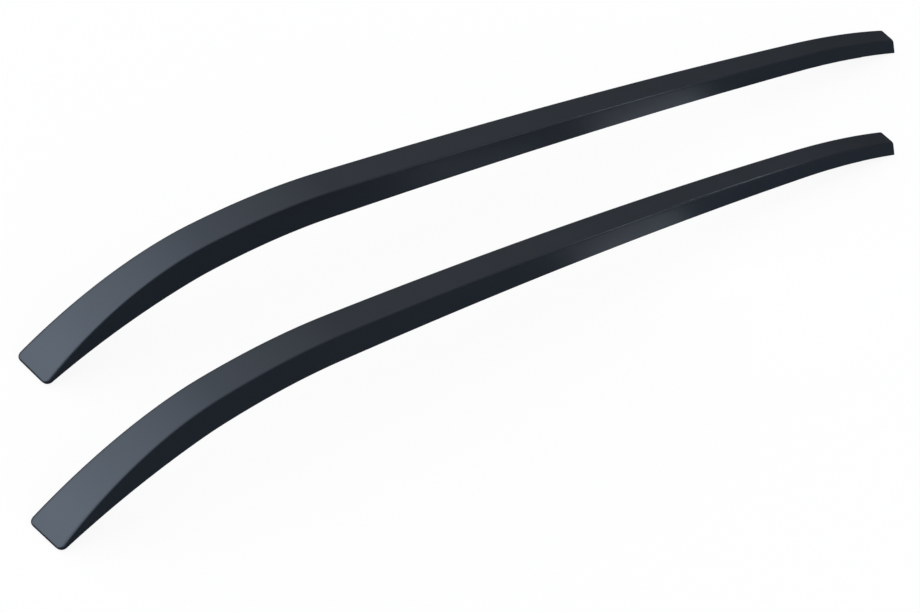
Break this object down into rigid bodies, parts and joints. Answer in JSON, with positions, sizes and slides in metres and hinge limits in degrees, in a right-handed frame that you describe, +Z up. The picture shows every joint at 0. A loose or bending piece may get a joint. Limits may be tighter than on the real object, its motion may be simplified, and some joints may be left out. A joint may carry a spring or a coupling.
{
  "type": "roof side rail pair",
  "caption": "Pair of arched black roof side rails with thin front feet, tapering to blunt rear ends, fixed by studs below; they carry crossbars along a car's roof.",
  "frame": {"origin": "on the floor below the pair, midway along its length and between the two front tips", "axes": "+X from the thin front feet to the rear ends, +Z up, +Y to the right rail's side"},
  "size_m": [1.9389, 0.2771, 0.1655],
  "materials": {
    "rail_coat": "satin black powder coat",
    "gasket_rubber": "matt",
    "plug_plastic": "fine grained",
    "plate_steel": "zinc plated",
    "stud_steel": "zinc plated"
  },
  "bodies": {
    "root": {"left_anchor_plate_1": "plate_steel", "left_anchor_plate_2": "plate_steel", "left_anchor_plate_3": "plate_steel", "left_anchor_plate_4": "plate_steel", "left_anchor_plate_5": "plate_steel", "left_base_gasket": "gasket_rubber", "left_rail_body": "rail_coat", "left_rear_plug": "plug_plastic", "left_seal_ring_1": "gasket_rubber", "left_seal_ring_2": "gasket_rubber", "left_seal_ring_3": "gasket_rubber", "left_seal_ring_4": "gasket_rubber", "left_seal_ring_5": "gasket_rubber", "left_stud_1": "stud_steel", "left_stud_2": "stud_steel", "left_stud_3": "stud_steel", "left_stud_4": "stud_steel", "left_stud_5": "stud_steel", "right_anchor_plate_1": "plate_steel", "right_anchor_plate_2": "plate_steel", "right_anchor_plate_3": "plate_steel", "right_anchor_plate_4": "plate_steel", "right_anchor_plate_5": "plate_steel", "right_base_gasket": "gasket_rubber", "right_rail_body": "rail_coat", "right_rear_plug": "plug_plastic", "right_seal_ring_1": "gasket_rubber", "right_seal_ring_2": "gasket_rubber", "right_seal_ring_3": "gasket_rubber", "right_seal_ring_4": "gasket_rubber", "right_seal_ring_5": "gasket_rubber", "right_stud_1": "stud_steel", "right_stud_2": "stud_steel", "right_stud_3": "stud_steel", "right_stud_4": "stud_steel", "right_stud_5": "stud_steel"}
  },
  "joints": []
}
